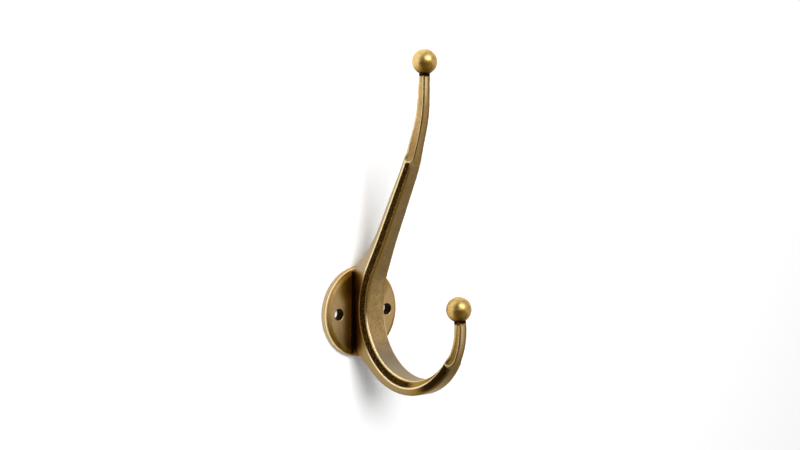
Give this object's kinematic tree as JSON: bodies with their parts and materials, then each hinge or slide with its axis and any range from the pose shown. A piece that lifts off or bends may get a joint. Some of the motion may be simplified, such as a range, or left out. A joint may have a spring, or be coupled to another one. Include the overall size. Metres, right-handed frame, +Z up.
{
  "type": "furniture hook",
  "caption": "Cast wall hook with a round screw-on back plate, a long bevelled upper arm and a bowl-shaped lower arm, each ending in a slim stem and a ball.",
  "frame": {"origin": "centre of the back plate's flat rear face, which lies on the wall", "axes": "+Z up the wall, +Y into the wall, so the hook stands out towards -Y, +X to the right for someone facing the wall"},
  "size_m": [0.0352, 0.0643, 0.1318],
  "materials": {
    "antique_brass": "antique brass on a zinc casting, satin, dark in the bevels and rubbed bright along the edges and on the balls"
  },
  "bodies": {
    "root": {"hook": "antique_brass"}
  },
  "joints": []
}
